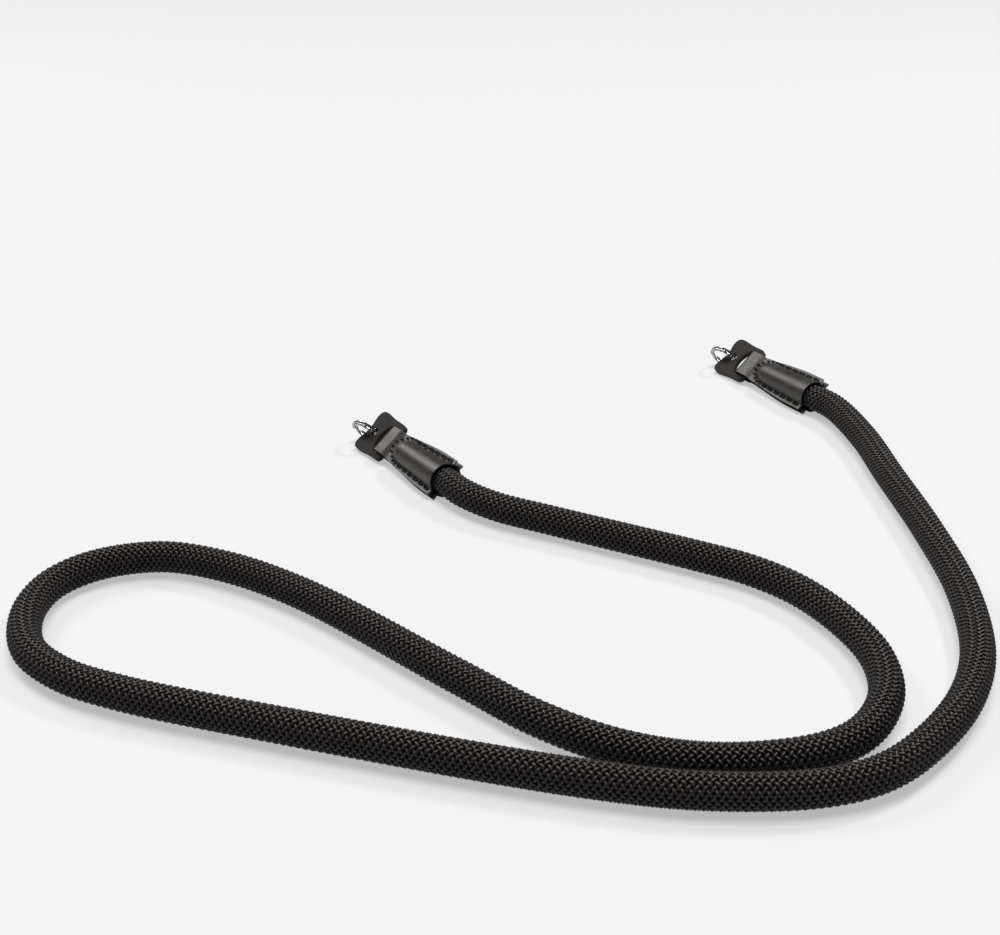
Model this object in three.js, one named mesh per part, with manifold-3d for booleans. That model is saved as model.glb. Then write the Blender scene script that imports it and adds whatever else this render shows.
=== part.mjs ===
// Camera neck strap: a braided rope whose two ends are sewn into folded leather strips.
// Each strip holds a leather ring pad by its slot, and each pad holds a steel split ring.
// Millimetres, +Z up. The strap lies loose on a table at z = 0, and the origin is on the
// table, midway between its two ends.

import * as THREE from 'three';
import { mergeVertices } from 'three/addons/utils/BufferGeometryUtils.js';
import Module from 'manifold-3d';

const wasm = await Module();
wasm.setup();

// Clearance between pieces that touch on the real strap
const GAP = 0.3;

// Rope: a flat-sided tube, and the narrower stub at each end that is sewn in
const ROPE_DIAMETER = 10.4;
const ROPE_SIDES = 12;
const ROPE_STEPS = 80;
const STUB_MOUTH_RADIUS = 4.6;
const STUB_TIP_RADIUS = 3.5;
const STUB_LENGTH = 26;
const STUB_ROOT = 2;

// Leather strip, measured along its axis from the mouth where the rope goes in
const LEATHER = 1.3;
const STRIP_LENGTH = 42;
const STRIP_WIDTH = 16;
const FOLD_WIDTH = 11.4;
const SHOULDER_START = 8;
const SHOULDER_END = 38;
const FRONT_CUTBACK = 1.4;
const DOME_LENGTH = 6;
const LOOP_LENGTH = 5.2;
const LOOP_RAMP = 3;
const BULGE_POWER = 0.6;
const BULGE_MARGIN = 1.3;
const STRIP_STATIONS = 22;
const STRIP_COLUMNS = 16;
const FOLD_ANGLES = [22, 44, 66, 86];
const CUTTER_WIDTH = STRIP_WIDTH + 2;

// Ring pad, measured along the same axis from its edge inside the strip's loop
const PAD_THICKNESS = 2;
const PAD_LENGTH = 17;
const PAD_NECK_WIDTH = 16.6;
const PAD_WING_WIDTH = 17.8;
const PAD_BAR = 3.7;
const PAD_CORNER = 2.4;
const FLARE_START = 9.5;
const FLARE_END = 11.5;
const WING_TIP_LENGTH = 3.2;
const WING_TIP_WIDTH = 2.8;
const CLEFT_DEPTH = 0.9;
const CLEFT_OUTER = 3.5;
const CLEFT_INNER = 3;
const SLOT_WIDTH = 12.4;
const SLOT_SIDE = 2.3;
const SLOT_DEPTH = 4.9;
const KEYHOLE_CENTRE = 12.3;
const KEYHOLE_DIAMETER = 3.4;
const SLIT_WIDTH = 0.8;
const SLIT_CHAMFER = 0.8;

// Split ring of two coils of flat wire
const RING_DIAMETER = 12;
const WIRE_WIDTH = 1.2;
const WIRE_HEIGHT = 0.9;
const COIL_GAP = 0.12;
const RING_STEPS = 38;
const RING_TURNS = 1.9;
const RING_JOG = 0.16;
const RING_SWING = 14.5;

// Where each end lies: the mouth's place, the way its axis points and its roll towards the front
const END_HEIGHT = 6.2;
const END_ROLL = 37;
const ENDS = [
  { side: 'left', x: -55.7, y: -59.4, heading: 125 },
  { side: 'right', x: 87.2, y: 13.2, heading: 123 },
];

// Rope route on the table, from the left mouth to the right one: x, y, and z where it is lifted
const TABLE_GAP = 0.03;
const ROPE_HEIGHT = ROPE_DIAMETER / 2 + TABLE_GAP;
const ROUTE = [
  [-55.7, -59.4, END_HEIGHT],
  [-50, -67.6, 6],
  [-38.3, -77, 5.55],
  [-20.3, -86.2, 5.3],
  [27.3, -110.6],
  [42.1, -119.2],
  [55.7, -132.2],
  [66.7, -152],
  [71.4, -170],
  [69.7, -188],
  [60.7, -204],
  [49.7, -212],
  [33.7, -216.4],
  [14.7, -216.9],
  [-5.5, -211.5],
  [-26.3, -199],
  [-48.3, -179.2],
  [-98.9, -133],
  [-126.3, -116.2],
  [-146.3, -110.8],
  [-165.3, -116],
  [-176.3, -127.5],
  [-179.6, -144],
  [-174.3, -164],
  [-161.6, -177],
  [-143.3, -186.2],
  [-101.8, -199.8],
  [-16.7, -224],
  [14.7, -229.2],
  [43.7, -228.2],
  [60.7, -222.4],
  [75.2, -210.5],
  [90.7, -190.5],
  [100.9, -167],
  [106, -132],
  [105, -93],
  [101.5, -52.5],
  [98.9, -21, 5.3],
  [92.7, 4.8, 6],
  [87.2, 13.2, END_HEIGHT],
];

const MATERIALS = {
  rope: new THREE.MeshStandardMaterial({ color: 0x1d1b1a, roughness: 0.75, metalness: 0 }),
  strip: new THREE.MeshStandardMaterial({ color: 0x1b1a1a, roughness: 0.45, metalness: 0 }),
  pad: new THREE.MeshStandardMaterial({ color: 0x241f1c, roughness: 0.65, metalness: 0 }),
  ring: new THREE.MeshStandardMaterial({ color: 0xc8c8c8, roughness: 0.25, metalness: 1 }),
};

const radians = THREE.MathUtils.degToRad;

// Boolean solids from geometries, and back
function solid(geometry) {
  const bare = geometry.clone();
  bare.deleteAttribute('normal');
  bare.deleteAttribute('uv');
  const merged = mergeVertices(bare, 1e-4);
  return new wasm.Manifold(new wasm.Mesh({
    numProp: 3,
    vertProperties: new Float32Array(merged.attributes.position.array),
    triVerts: new Uint32Array(merged.index.array),
  }));
}

function geometryOf(body) {
  const mesh = body.getMesh();
  const geometry = new THREE.BufferGeometry();
  geometry.setAttribute('position', new THREE.BufferAttribute(mesh.vertProperties, 3));
  geometry.setIndex(new THREE.BufferAttribute(mesh.triVerts, 1));
  geometry.computeVertexNormals();
  return geometry;
}

// A turned body along +X, from rows of distance along the axis and radius
function turned(rows) {
  const profile = rows.map(({ along, radius }) => new THREE.Vector2(radius, along));
  const geometry = new THREE.LatheGeometry(profile, ROPE_SIDES);
  return geometry.rotateZ(-Math.PI / 2);
}

// Rope radius inside the strip, at a distance from the mouth
function stubRadius(along) {
  const part = THREE.MathUtils.clamp(along / STUB_LENGTH, 0, 1);
  return THREE.MathUtils.lerp(STUB_MOUTH_RADIUS, STUB_TIP_RADIUS, part);
}

function stub(clearance) {
  return turned([
    { along: -STUB_ROOT, radius: 0 },
    { along: -STUB_ROOT, radius: STUB_MOUTH_RADIUS + clearance },
    { along: 0, radius: STUB_MOUTH_RADIUS + clearance },
    { along: STUB_LENGTH + clearance, radius: STUB_TIP_RADIUS + clearance },
    { along: STUB_LENGTH + clearance, radius: 0 },
  ]);
}

// Turns a piece from an end's own axes into its place on the table
function endMatrix({ x, y, heading }) {
  const turn = new THREE.Matrix4().makeRotationZ(radians(heading));
  const roll = new THREE.Matrix4().makeRotationX(radians(-END_ROLL));
  return new THREE.Matrix4().makeTranslation(x, y, END_HEIGHT).multiply(turn).multiply(roll);
}

function ropeSection() {
  const corner = ROPE_DIAMETER / 2 / Math.cos(Math.PI / ROPE_SIDES);
  const points = [];
  for (let side = 0; side < ROPE_SIDES; side += 1) {
    const angle = (2 * Math.PI * (side + 0.5)) / ROPE_SIDES;
    points.push(new THREE.Vector2(corner * Math.cos(angle), corner * Math.sin(angle)));
  }
  return new THREE.Shape(points);
}

function ropeGeometry() {
  const points = ROUTE.map(([x, y, z = ROPE_HEIGHT]) => new THREE.Vector3(x, y, z));
  const path = new THREE.CatmullRomCurve3(points, false, 'centripetal');
  path.arcLengthDivisions = 2000;
  const tube = new THREE.ExtrudeGeometry(ropeSection(), { steps: ROPE_STEPS, extrudePath: path });
  let body = solid(tube);
  for (const end of ENDS) {
    body = body.add(solid(stub(0).applyMatrix4(endMatrix(end))));
  }
  return geometryOf(body);
}

// Half the strip's width: full at the mouth, tapering to where it folds through the pad's slot
function stripHalfWidth(along) {
  const taper = THREE.MathUtils.smoothstep(along, SHOULDER_START, SHOULDER_END);
  return THREE.MathUtils.lerp(STRIP_WIDTH / 2, FOLD_WIDTH / 2, taper);
}

// Half the strip's thickness: a bulge over the rope, sewn flat beside it, thicker round the pad's bar
function stripHalfThickness(along, across) {
  const foldRadius = PAD_THICKNESS / 2 + GAP + LEATHER;
  const closing = THREE.MathUtils.clamp((along - STUB_LENGTH) / DOME_LENGTH, 0, 1);
  const dome = Math.sqrt(1 - closing * closing);
  const bulgeHalf = (stubRadius(along) + BULGE_MARGIN) * dome;
  const offset = bulgeHalf > 0 ? Math.min(1, Math.abs(across) / bulgeHalf) : 1;
  const bulge = (stubRadius(along) + GAP) * dome * (1 - offset * offset) ** BULGE_POWER;
  const loopStart = STRIP_LENGTH - LEATHER - LOOP_LENGTH;
  const ramp = THREE.MathUtils.smoothstep(along, loopStart - LOOP_RAMP, loopStart);
  const sewn = THREE.MathUtils.lerp(LEATHER, foldRadius, ramp);
  const intoFold = along - (STRIP_LENGTH - foldRadius);
  if (intoFold > 0) {
    return Math.sqrt(foldRadius ** 2 - intoFold ** 2);
  }
  return Math.max(sewn, LEATHER + bulge);
}

// Distances from the mouth at which the strip is shaped, closer together round the fold
function stripStations() {
  const foldRadius = PAD_THICKNESS / 2 + GAP + LEATHER;
  const foldStart = STRIP_LENGTH - foldRadius;
  const stations = [];
  for (let step = 0; step <= STRIP_STATIONS; step += 1) {
    stations.push(THREE.MathUtils.lerp(GAP, foldStart, step / STRIP_STATIONS));
  }
  for (const angle of FOLD_ANGLES) {
    stations.push(foldStart + foldRadius * Math.sin(radians(angle)));
  }
  return stations;
}

function stripBlank() {
  const stations = stripStations();
  const rows = stations.length - 1;
  const blank = new THREE.BoxGeometry(1, 2, 2, rows, STRIP_COLUMNS, 1);
  const place = blank.attributes.position;
  for (let corner = 0; corner < place.count; corner += 1) {
    const along = stations[Math.round((place.getX(corner) + 0.5) * rows)];
    const across = place.getY(corner) * stripHalfWidth(along);
    const up = place.getZ(corner) * stripHalfThickness(along, across);
    place.setXYZ(corner, along, across, up);
  }
  return blank;
}

// The space inside the fold where the pad's bar lies
function loopHollow() {
  const radius = PAD_THICKNESS / 2 + GAP;
  const foldEnd = STRIP_LENGTH - LEATHER;
  const outline = new THREE.Shape();
  outline.moveTo(foldEnd - LOOP_LENGTH, -radius);
  outline.lineTo(foldEnd - radius, -radius);
  outline.absarc(foldEnd - radius, 0, radius, -Math.PI / 2, Math.PI / 2, false);
  outline.lineTo(foldEnd - LOOP_LENGTH, radius);
  outline.closePath();
  const hollow = new THREE.ExtrudeGeometry(outline, {
    depth: CUTTER_WIDTH,
    bevelEnabled: false,
    curveSegments: 8,
  });
  return hollow.translate(0, 0, -CUTTER_WIDTH / 2).rotateX(Math.PI / 2);
}

// The front layer stops short of the back one where the rope goes in
function frontCutback() {
  const height = 2 * ROPE_DIAMETER;
  const block = new THREE.BoxGeometry(2 * FRONT_CUTBACK, CUTTER_WIDTH, height);
  return block.translate(GAP, 0, height / 2);
}

function stripGeometry() {
  let body = solid(stripBlank());
  for (const cutter of [stub(GAP), loopHollow(), frontCutback()]) {
    body = body.subtract(solid(cutter));
  }
  return geometryOf(body);
}

// The pad's outline: square at the bar, flared to two wings, with a keyhole slit between them
function padOutline() {
  const neck = PAD_NECK_WIDTH / 2;
  const wing = PAD_WING_WIDTH / 2;
  const hole = KEYHOLE_DIAMETER / 2;
  const slit = SLIT_WIDTH / 2;
  const mouth = PAD_LENGTH - CLEFT_DEPTH;
  const tip = PAD_LENGTH - WING_TIP_LENGTH;
  const slitTurn = Math.asin(slit / hole);
  const outline = new THREE.Shape();
  outline.moveTo(0, -neck + PAD_CORNER);
  outline.quadraticCurveTo(0, -neck, PAD_CORNER, -neck);
  outline.lineTo(PAD_BAR + SLOT_SIDE, -neck);
  outline.bezierCurveTo(FLARE_START, -neck, FLARE_END, -wing, tip, -wing);
  outline.quadraticCurveTo(PAD_LENGTH, -wing, PAD_LENGTH, -wing + WING_TIP_WIDTH);
  outline.bezierCurveTo(PAD_LENGTH, -CLEFT_OUTER, mouth, -CLEFT_INNER, mouth, -slit - SLIT_CHAMFER);
  outline.lineTo(mouth - SLIT_CHAMFER, -slit);
  outline.absarc(KEYHOLE_CENTRE, 0, hole, -slitTurn, slitTurn - 2 * Math.PI, true);
  outline.lineTo(mouth - SLIT_CHAMFER, slit);
  outline.lineTo(mouth, slit + SLIT_CHAMFER);
  outline.bezierCurveTo(mouth, CLEFT_INNER, PAD_LENGTH, CLEFT_OUTER, PAD_LENGTH, wing - WING_TIP_WIDTH);
  outline.quadraticCurveTo(PAD_LENGTH, wing, tip, wing);
  outline.bezierCurveTo(FLARE_END, wing, FLARE_START, neck, PAD_BAR + SLOT_SIDE, neck);
  outline.lineTo(PAD_CORNER, neck);
  outline.quadraticCurveTo(0, neck, 0, neck - PAD_CORNER);
  outline.closePath();
  return outline;
}

// The D-shaped slot: straight along the bar, curved on the ring's side
function padSlot() {
  const half = SLOT_WIDTH / 2;
  const rise = SLOT_DEPTH - SLOT_SIDE;
  const radius = (half ** 2 + rise ** 2) / (2 * rise);
  const sweep = Math.asin(half / radius);
  const slot = new THREE.Path();
  slot.moveTo(PAD_BAR, -half);
  slot.lineTo(PAD_BAR + SLOT_SIDE, -half);
  slot.absarc(PAD_BAR + SLOT_DEPTH - radius, 0, radius, -sweep, sweep, false);
  slot.lineTo(PAD_BAR, half);
  slot.closePath();
  return slot;
}

function padGeometry() {
  const outline = padOutline();
  outline.holes.push(padSlot());
  const pad = new THREE.ExtrudeGeometry(outline, {
    depth: PAD_THICKNESS,
    bevelEnabled: false,
    curveSegments: 8,
  });
  return pad.translate(0, 0, -PAD_THICKNESS / 2);
}

// Distance from the mouth to the pad's bar edge: the bar lies against the inside of the fold
function padStart() {
  const inner = PAD_THICKNESS / 2 + GAP;
  const reach = Math.sqrt(inner ** 2 - (PAD_THICKNESS / 2) ** 2);
  return STRIP_LENGTH - LEATHER - inner + reach - GAP - PAD_BAR;
}

// Two flat coils of wire, joined by a short jog from the lower coil to the upper one
class SplitRingPath extends THREE.Curve {
  getPoint(t, target = new THREE.Vector3()) {
    const radius = (RING_DIAMETER - WIRE_WIDTH) / 2;
    const step = WIRE_HEIGHT + COIL_GAP;
    const turns = RING_TURNS * (t - 0.5);
    const angle = 2 * Math.PI * turns;
    const lift = THREE.MathUtils.smoothstep(turns, -RING_JOG / 2, RING_JOG / 2) - 0.5;
    return target.set(radius * Math.cos(angle), radius * Math.sin(angle), step * lift);
  }
}

function ringGeometry() {
  const wire = new THREE.Shape();
  wire.moveTo(-WIRE_HEIGHT / 2, -WIRE_WIDTH / 2);
  wire.lineTo(WIRE_HEIGHT / 2, -WIRE_WIDTH / 2);
  wire.lineTo(WIRE_HEIGHT / 2, WIRE_WIDTH / 2);
  wire.lineTo(-WIRE_HEIGHT / 2, WIRE_WIDTH / 2);
  wire.closePath();
  return new THREE.ExtrudeGeometry(wire, { steps: RING_STEPS, extrudePath: new SplitRingPath() });
}

function piece(name, geometry, material) {
  const mesh = new THREE.Mesh(geometry, material);
  mesh.name = name;
  return mesh;
}

// The ring stands square to the pad through its keyhole, swung until it meets the table
function ringAt(side) {
  const ring = piece(`split_ring_${side}`, ringGeometry(), MATERIALS.ring);
  const swing = new THREE.Group();
  ring.position.x = (RING_DIAMETER - WIRE_WIDTH) / 2;
  ring.rotation.x = Math.PI / 2;
  swing.position.x = padStart() + KEYHOLE_CENTRE;
  swing.rotation.z = radians(RING_SWING);
  swing.add(ring);
  return swing;
}

// One whole end: strip, pad and ring on the same axis, rolled towards the front
function endAssembly({ side, x, y, heading }) {
  const strip = piece(`end_strip_${side}`, stripGeometry(), MATERIALS.strip);
  const pad = piece(`ring_pad_${side}`, padGeometry(), MATERIALS.pad);
  pad.position.x = padStart();
  const roll = new THREE.Group();
  roll.rotation.x = radians(-END_ROLL);
  roll.add(strip, pad, ringAt(side));
  const end = new THREE.Group();
  end.position.set(x, y, END_HEIGHT);
  end.rotation.z = radians(heading);
  end.add(roll);
  return end;
}

const strap = new THREE.Group();
strap.add(piece('rope', ropeGeometry(), MATERIALS.rope));
for (const end of ENDS) {
  strap.add(endAssembly(end));
}

export default strap;
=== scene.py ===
"""Braided rope camera neck strap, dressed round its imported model.

The rope is a core under 24 strands, braided one over one. Each end of it is sewn into a folded
leather strip, which holds a leather ring pad by its slot, and each pad holds a steel split ring.
Every piece is in metres, in the model's own frame, with the strap lying on a table at z = 0.
"""

import math

import bmesh
import bpy
import numpy as np
from bpy.props import FloatProperty, FloatVectorProperty, IntProperty, PointerProperty
from bpy.types import Operator, Panel, PropertyGroup
from mathutils import Euler, Matrix, Vector


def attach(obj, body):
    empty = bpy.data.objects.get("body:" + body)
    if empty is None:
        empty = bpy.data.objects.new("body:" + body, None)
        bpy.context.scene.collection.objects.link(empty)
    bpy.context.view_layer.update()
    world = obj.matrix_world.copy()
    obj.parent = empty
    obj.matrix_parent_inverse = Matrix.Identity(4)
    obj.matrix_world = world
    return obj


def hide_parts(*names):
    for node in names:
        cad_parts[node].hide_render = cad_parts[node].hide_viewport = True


bl_info = {
    "name": "Braided Neck Strap",
    "version": (1, 0, 0),
    "blender": (4, 5, 0),
    "location": "View3D > Sidebar > Strap",
    "description": "Builds a braided rope neck strap with leather ends and split rings",
    "category": "Add Mesh",
}

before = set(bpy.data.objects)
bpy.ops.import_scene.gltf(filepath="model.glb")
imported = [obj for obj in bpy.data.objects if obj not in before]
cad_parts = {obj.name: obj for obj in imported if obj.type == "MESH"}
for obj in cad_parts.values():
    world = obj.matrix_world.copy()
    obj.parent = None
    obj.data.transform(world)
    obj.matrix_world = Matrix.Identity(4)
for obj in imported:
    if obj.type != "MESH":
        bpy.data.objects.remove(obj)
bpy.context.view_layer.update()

MM = 0.001
BODY = "root"

# Rope route on the table, from the left mouth to the right one, as the model has it
LIE = 5.23 * MM
MOUTH = 6.2 * MM
ROUTE = [
    (-0.0557, -0.0594, MOUTH),
    (-0.0500, -0.0676, 0.0060),
    (-0.0383, -0.0770, 0.00555),
    (-0.0203, -0.0862, 0.0053),
    (0.0273, -0.1106, LIE),
    (0.0421, -0.1192, LIE),
    (0.0557, -0.1322, LIE),
    (0.0667, -0.1520, LIE),
    (0.0714, -0.1700, LIE),
    (0.0697, -0.1880, LIE),
    (0.0607, -0.2040, LIE),
    (0.0497, -0.2120, LIE),
    (0.0337, -0.2164, LIE),
    (0.0147, -0.2169, LIE),
    (-0.0055, -0.2115, LIE),
    (-0.0263, -0.1990, LIE),
    (-0.0483, -0.1792, LIE),
    (-0.0989, -0.1330, LIE),
    (-0.1263, -0.1162, LIE),
    (-0.1463, -0.1108, LIE),
    (-0.1653, -0.1160, LIE),
    (-0.1763, -0.1275, LIE),
    (-0.1796, -0.1440, LIE),
    (-0.1743, -0.1640, LIE),
    (-0.1616, -0.1770, LIE),
    (-0.1433, -0.1862, LIE),
    (-0.1018, -0.1998, LIE),
    (-0.0167, -0.2240, LIE),
    (0.0147, -0.2292, LIE),
    (0.0437, -0.2282, LIE),
    (0.0607, -0.2224, LIE),
    (0.0752, -0.2105, LIE),
    (0.0907, -0.1905, LIE),
    (0.1009, -0.1670, LIE),
    (0.1060, -0.1320, LIE),
    (0.1050, -0.0930, LIE),
    (0.1015, -0.0525, LIE),
    (0.0989, -0.0210, 0.0053),
    (0.0927, 0.0048, 0.0060),
    (0.0872, 0.0132, MOUTH),
]

# Where each end lies: its roll to the front, the mouth's place and the way its axis points, in degrees
END_ROLL = 37.0
ENDS = [
    {"side": "left", "x": -0.0557, "y": -0.0594, "heading": 125.0},
    {"side": "right", "x": 0.0872, "y": 0.0132, "heading": 123.0},
]


class RopeSettings(PropertyGroup):
    """Sizes and colours of the braided rope"""

    diameter: FloatProperty(
        name="Diameter", description="Thickness over the braid", default=10.4 * MM, unit="LENGTH"
    )
    carriers: IntProperty(
        name="Carriers", description="Strands in the braid, half of them each way", default=24
    )
    lead: FloatProperty(
        name="Lead",
        description="Length in which a strand goes once round",
        default=25.1 * MM,
        unit="LENGTH",
    )
    strand_width: FloatProperty(
        name="Strand width", description="Width of a strand on top", default=1.0 * MM, unit="LENGTH"
    )
    strand_height: FloatProperty(
        name="Strand height", description="Thickness of a strand", default=0.95 * MM, unit="LENGTH"
    )
    dip: FloatProperty(
        name="Dip",
        description="How far a strand goes down to pass under",
        default=1.1 * MM,
        unit="LENGTH",
    )
    twist: FloatProperty(
        name="Twist", description="Slow turn of the braid along the rope", default=0.5, subtype="ANGLE"
    )
    # Painted shade: the colour low on the strands, on their flanks and where they dip under.
    dark: FloatVectorProperty(
        name="Yarn, dark",
        description="Colour low in the yarn",
        subtype="COLOR",
        default=(0.001, 0.0009, 0.0009),
    )
    # Painted highlight: the colour on the strands' crests.
    light: FloatVectorProperty(
        name="Yarn, light",
        description="Colour on the crests of the yarn",
        subtype="COLOR",
        default=(0.022, 0.018, 0.0165),
    )


class StripSettings(PropertyGroup):
    """Sizes and colours of the folded leather strips and their stitches"""

    leather: FloatProperty(
        name="Leather", description="Thickness of one layer", default=1.3 * MM, unit="LENGTH"
    )
    width: FloatProperty(
        name="Width", description="Width at the mouth", default=16.0 * MM, unit="LENGTH"
    )
    fold_width: FloatProperty(
        name="Fold width",
        description="Width where it folds round the pad",
        default=11.4 * MM,
        unit="LENGTH",
    )
    stitch: FloatProperty(
        name="Stitch",
        description="Distance between stitches along the sides",
        default=3.6 * MM,
        unit="LENGTH",
    )
    arch_stitch: FloatProperty(
        name="Arch stitch",
        description="Distance between stitches round the rope's end",
        default=1.8 * MM,
        unit="LENGTH",
    )
    thread: FloatProperty(
        name="Thread", description="Thickness of the thread", default=0.6 * MM, unit="LENGTH"
    )
    dark: FloatVectorProperty(
        name="Leather, dark",
        description="Colour in the grain",
        subtype="COLOR",
        default=(0.018, 0.0172, 0.0165),
    )
    light: FloatVectorProperty(
        name="Leather, light",
        description="Colour where rubbed",
        subtype="COLOR",
        default=(0.042, 0.0395, 0.0375),
    )


class PadSettings(PropertyGroup):
    """Sizes and colours of the ring pads"""

    thickness: FloatProperty(
        name="Thickness", description="Thickness of the pad", default=2.0 * MM, unit="LENGTH"
    )
    edge: FloatProperty(
        name="Edge", description="Rounding of the pad's edges", default=0.3 * MM, unit="LENGTH"
    )
    dark: FloatVectorProperty(
        name="Pad, dark",
        description="Colour in the grain",
        subtype="COLOR",
        default=(0.014, 0.012, 0.0105),
    )
    light: FloatVectorProperty(
        name="Pad, light",
        description="Colour where rubbed",
        subtype="COLOR",
        default=(0.034, 0.029, 0.0255),
    )


class RingSettings(PropertyGroup):
    """Sizes of the split rings"""

    diameter: FloatProperty(
        name="Diameter", description="Outside diameter", default=12.0 * MM, unit="LENGTH"
    )
    wire_width: FloatProperty(
        name="Wire width", description="Wire across the ring", default=1.2 * MM, unit="LENGTH"
    )
    wire_height: FloatProperty(
        name="Wire height", description="Wire along the ring's axis", default=0.9 * MM, unit="LENGTH"
    )
    turns: FloatProperty(name="Turns", description="Turns of wire", default=1.9)


class StageSettings(PropertyGroup):
    """Floor, light and camera"""

    floor: FloatVectorProperty(
        name="Floor", description="Colour of the table", subtype="COLOR", default=(0.27, 0.27, 0.27)
    )
    # Painted light: the table's glow lifts the shadows on it.
    glow: FloatProperty(name="Glow", description="Light that the table gives of itself", default=0.5)
    sky: FloatProperty(name="Sky", description="Strength of the even light", default=0.05)
    backdrop: FloatProperty(name="Backdrop", description="Brightness behind the table", default=0.52)
    over: FloatProperty(
        name="Overhead", description="Power of the overhead softbox", default=46.0, unit="POWER"
    )
    key: FloatProperty(
        name="Key", description="Power of the rear right softbox", default=26.0, unit="POWER"
    )
    kick: FloatProperty(
        name="Kicker", description="Power of the rear left softbox", default=24.0, unit="POWER"
    )
    lens: FloatProperty(name="Lens", description="Focal length on a 36 mm wide sensor", default=54.94)
    pitch: FloatProperty(
        name="Pitch",
        description="How far the camera looks down",
        default=math.radians(26.5),
        subtype="ANGLE",
    )


def settings(name):
    """The scene's settings of one group of pieces."""
    return getattr(bpy.context.scene, "strap_" + name)


# Small helpers


def smooth(low, high, value):
    """From 0 at low to 1 at high, level at both."""
    part = np.clip((value - low) / (high - low), 0.0, 1.0)
    return part * part * (3 - 2 * part)


def mix(low, high, part):
    return low + (high - low) * part


def add_object(name, mesh, materials):
    """A shown piece that rides on the part's one body."""
    for material in materials:
        mesh.materials.append(material)
    piece = bpy.data.objects.new(name, mesh)
    bpy.context.scene.collection.objects.link(piece)
    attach(piece, BODY)
    return piece


def mesh_from(bm, name, place=None):
    """The bmesh as a mesh, put in its place, with the bmesh freed."""
    if place is not None:
        bmesh.ops.transform(bm, matrix=place, verts=bm.verts)
    for face in bm.faces:
        face.smooth = True
    mesh = bpy.data.meshes.new(name)
    bm.to_mesh(mesh)
    bm.free()
    return mesh


def end_matrix(end):
    """From an end's own axes, mouth to ring along +X and front up +Z, to its place on the table."""
    turn = Matrix.Rotation(math.radians(end["heading"]), 4, "Z")
    roll = Matrix.Rotation(math.radians(-END_ROLL), 4, "X")
    return Matrix.Translation((end["x"], end["y"], MOUTH)) @ turn @ roll


# Shader node helpers

# Sockets of the Mix node, which has a set of them for each kind of data
VECTOR_A, VECTOR_B, VECTOR_MIXED = 4, 5, 1
COLOUR_A, COLOUR_B, COLOUR_MIXED = 6, 7, 2
WHITE = (1.0, 1.0, 1.0, 1.0)


def node(tree, kind, at, **values):
    made = tree.nodes.new(kind)
    made.location = at
    for key, value in values.items():
        setattr(made, key, value)
    return made


def set_inputs(made, **values):
    for key, value in values.items():
        made.inputs[key.replace("_", " ")].default_value = value
    return made


def socket(tree, name, direction, kind="NodeSocketFloat", default=None):
    made = tree.interface.new_socket(name=name, in_out=direction, socket_type=kind)
    if default is not None:
        made.default_value = default
    return made


def slow_tone_group():
    """Broad, uneven tone over a surface, from 0 to 1."""
    tree = bpy.data.node_groups.new("Slow tone", "ShaderNodeTree")
    socket(tree, "Vector", "INPUT", "NodeSocketVector")
    socket(tree, "Scale", "INPUT", default=100.0)
    socket(tree, "Tone", "OUTPUT")
    start = node(tree, "NodeGroupInput", (-600, 0))
    noise = set_inputs(node(tree, "ShaderNodeTexNoise", (-350, 0)), Detail=3.0, Roughness=0.6)
    spread = set_inputs(node(tree, "ShaderNodeMapRange", (-100, 0)), From_Min=0.3, From_Max=0.7)
    end = node(tree, "NodeGroupOutput", (150, 0))
    tree.links.new(start.outputs["Vector"], noise.inputs["Vector"])
    tree.links.new(start.outputs["Scale"], noise.inputs["Scale"])
    tree.links.new(noise.outputs["Fac"], spread.inputs["Value"])
    tree.links.new(spread.outputs["Result"], end.inputs["Tone"])
    return tree


def leather_grain_group():
    """Pebbles of leather grain with a fine roughness on them, as a height."""
    tree = bpy.data.node_groups.new("Leather grain", "ShaderNodeTree")
    socket(tree, "Vector", "INPUT", "NodeSocketVector")
    socket(tree, "Scale", "INPUT", default=2000.0)
    socket(tree, "Height", "OUTPUT")
    start = node(tree, "NodeGroupInput", (-900, 0))
    bend = set_inputs(node(tree, "ShaderNodeTexNoise", (-700, 200)), Scale=900.0, Detail=2.0)
    warp = node(tree, "ShaderNodeMix", (-500, 120), data_type="VECTOR")
    warp.inputs["Factor"].default_value = 0.0004
    cells = node(tree, "ShaderNodeTexVoronoi", (-300, 120), feature="DISTANCE_TO_EDGE")
    fine = set_inputs(node(tree, "ShaderNodeTexNoise", (-300, -180)), Scale=6000.0, Detail=2.0)
    pebble = set_inputs(node(tree, "ShaderNodeMapRange", (-80, 120)), From_Max=0.16)
    rough = node(tree, "ShaderNodeMath", (120, 0), operation="MULTIPLY_ADD")
    rough.inputs[1].default_value = 0.25
    end = node(tree, "NodeGroupOutput", (340, 60))
    tree.links.new(start.outputs["Vector"], bend.inputs["Vector"])
    tree.links.new(start.outputs["Vector"], warp.inputs[VECTOR_A])
    tree.links.new(bend.outputs["Color"], warp.inputs[VECTOR_B])
    tree.links.new(warp.outputs[VECTOR_MIXED], cells.inputs["Vector"])
    tree.links.new(start.outputs["Scale"], cells.inputs["Scale"])
    tree.links.new(start.outputs["Vector"], fine.inputs["Vector"])
    tree.links.new(cells.outputs["Distance"], pebble.inputs["Value"])
    tree.links.new(fine.outputs["Fac"], rough.inputs[0])
    tree.links.new(pebble.outputs["Result"], rough.inputs[2])
    tree.links.new(rough.outputs["Value"], end.inputs["Height"])
    return tree


def shared_group(name):
    """A node group, built at its first use."""
    makers = {"Slow tone": slow_tone_group, "Leather grain": leather_grain_group}
    return bpy.data.node_groups.get(name) or makers[name]()


def group_node(tree, name, at, vector, **values):
    made = node(tree, "ShaderNodeGroup", at, node_tree=shared_group(name))
    tree.links.new(vector, made.inputs["Vector"])
    return set_inputs(made, **values)


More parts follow.
